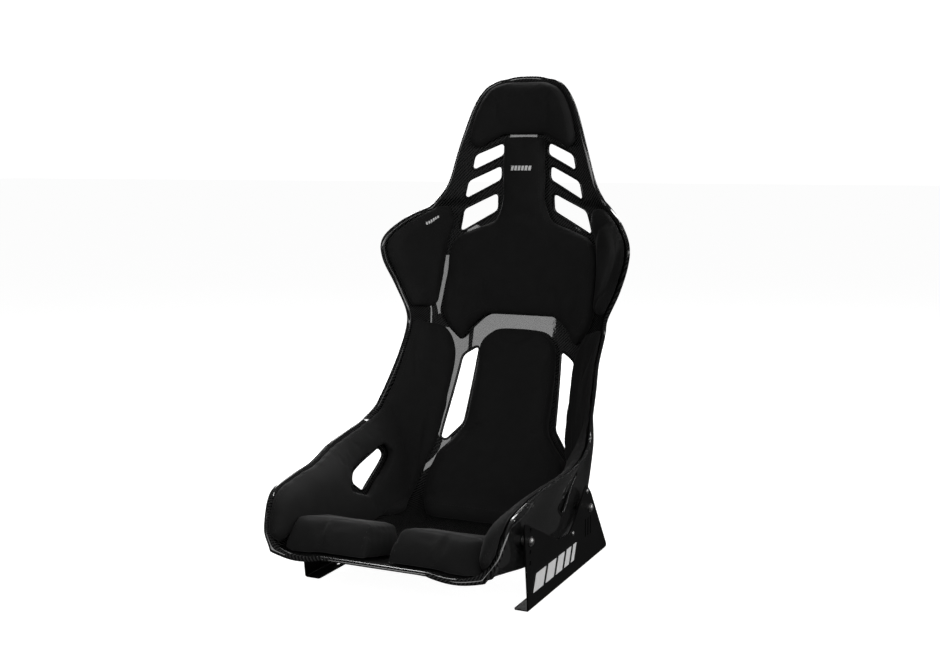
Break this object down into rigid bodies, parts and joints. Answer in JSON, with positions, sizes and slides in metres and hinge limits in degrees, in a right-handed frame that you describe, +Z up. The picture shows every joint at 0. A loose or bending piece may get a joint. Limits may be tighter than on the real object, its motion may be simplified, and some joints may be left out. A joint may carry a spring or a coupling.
{
  "type": "racing bucket seat",
  "caption": "High-backed bucket seat: glossy carbon shell with belt slots, raised thigh sides and shoulder wings, black stick-on pads, bolted between steel side brackets.",
  "frame": {"origin": "centre of the footprint of the seat's bounding box, on the plane under the bracket feet", "axes": "+Z up, the seat faces -Y, +X is to the right seen from in front; x = 0 is the plane of symmetry"},
  "size_m": [0.5622, 0.706, 0.9765],
  "materials": {
    "carbon": "clear-coated twill carbon laminate",
    "fabric": "matte black microfibre over foam",
    "tape": "hook-and-loop tape",
    "tag": "plain woven tag",
    "print": "printed bar",
    "bracket": "satin black powder coat on bent steel plate",
    "steel": "zinc-plated steel",
    "zinc": "zinc-plated steel"
  },
  "bodies": {
    "root": {"bolster_pad_tape_left": "tape", "bolster_pad_tape_right": "tape", "bracket_bar_1_left": "print", "bracket_bar_1_right": "print", "bracket_bar_2_left": "print", "bracket_bar_2_right": "print", "bracket_bar_3_left": "print", "bracket_bar_3_right": "print", "bracket_bar_4_left": "print", "bracket_bar_4_right": "print", "bracket_bar_5_left": "print", "bracket_bar_5_right": "print", "bracket_screw_apex_left": "steel", "bracket_screw_apex_right": "steel", "bracket_screw_notch_left": "steel", "bracket_screw_notch_right": "steel", "head_pad": "fabric", "head_pad_tape": "tape", "lower_back_seat_pad": "fabric", "lower_back_seat_pad_tape": "tape", "mount_bolt_front_left": "steel", "mount_bolt_front_right": "steel", "mount_bolt_rear_left": "steel", "mount_bolt_rear_right": "steel", "neck_tag": "tag", "seat_pad_tape": "tape", "seat_shell": "carbon", "shell_insert_front_left": "zinc", "shell_insert_front_right": "zinc", "shell_insert_rear_left": "zinc", "shell_insert_rear_right": "zinc", "shoulder_wing_pad_left": "fabric", "shoulder_wing_pad_right": "fabric", "side_bolster_pad_left": "fabric", "side_bolster_pad_right": "fabric", "side_bracket_left": "bracket", "side_bracket_right": "bracket", "spacer_front_left": "zinc", "spacer_front_right": "zinc", "spacer_rear_left": "zinc", "spacer_rear_right": "zinc", "thigh_pad_left": "fabric", "thigh_pad_right": "fabric", "thigh_pad_tape_left": "tape", "thigh_pad_tape_right": "tape", "upper_back_pad": "fabric", "upper_back_pad_tape": "tape", "washer_front_left": "steel", "washer_front_right": "steel", "washer_rear_left": "steel", "washer_rear_right": "steel", "wing_pad_tape_left": "tape", "wing_pad_tape_right": "tape", "wing_tag": "tag"}
  },
  "joints": []
}
